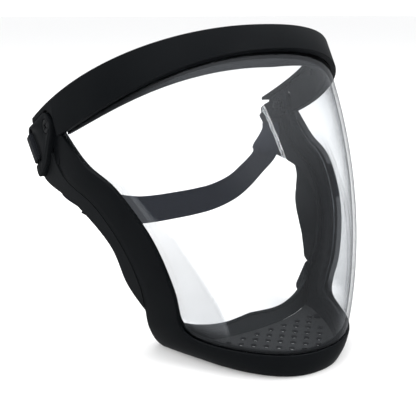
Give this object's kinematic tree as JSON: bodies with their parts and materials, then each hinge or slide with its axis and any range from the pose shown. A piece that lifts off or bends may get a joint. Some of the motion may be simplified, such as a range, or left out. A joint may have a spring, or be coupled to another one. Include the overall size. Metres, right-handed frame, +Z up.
{
  "type": "face shield",
  "caption": "Full face shield: clear curved visor in a closed black rim with brow band, side arms, perforated chin tray and an elastic strap hung from slotted temple anchors.",
  "frame": {"origin": "centre of the bounding box in plan, on the plane that the chin tray stands on", "axes": "+Z up, -Y the way the wearer looks, +X to the side, mirror plane X = 0"},
  "size_m": [0.1808, 0.1636, 0.173],
  "materials": {
    "clear_plastic": "clear glossy polycarbonate",
    "black_plastic": "satin moulded black plastic",
    "soft_rim": "soft matt black edging",
    "floor_plastic": "moulded dark plastic",
    "screw_steel": "blackened steel",
    "webbing": "woven elastic webbing",
    "slider_plastic": "moulded black plastic"
  },
  "bodies": {
    "shield": {"visor": "clear_plastic", "brow_band": "black_plastic", "brow_rail": "black_plastic", "rail_pins": "black_plastic", "lower_frame": "black_plastic", "face_rim": "soft_rim", "vent_floor": "floor_plastic", "floor_pins": "black_plastic", "strap_anchor_left": "black_plastic", "strap_anchor_right": "black_plastic", "temple_plate_left": "black_plastic", "temple_plate_right": "black_plastic", "temple_screws": "screw_steel", "temple_washers": "screw_steel", "temple_nuts": "screw_steel", "strap_loop_left": "webbing", "strap_loop_right": "webbing"},
    "strap": {"strap": "webbing"},
    "slider": {"strap_slider": "slider_plastic"}
  },
  "joints": [
    {"name": "strap_swing", "type": "hinge", "parent": "shield", "child": "strap", "pos_m": [0, 0.066, 0.103], "axis": [1, 0, 0], "range_deg": [0, 110]},
    {"name": "slider_slide", "type": "slide", "parent": "strap", "child": "slider", "axis": [0.816, 0, -0.578], "range_m": [-0.004, 0.004]}
  ]
}
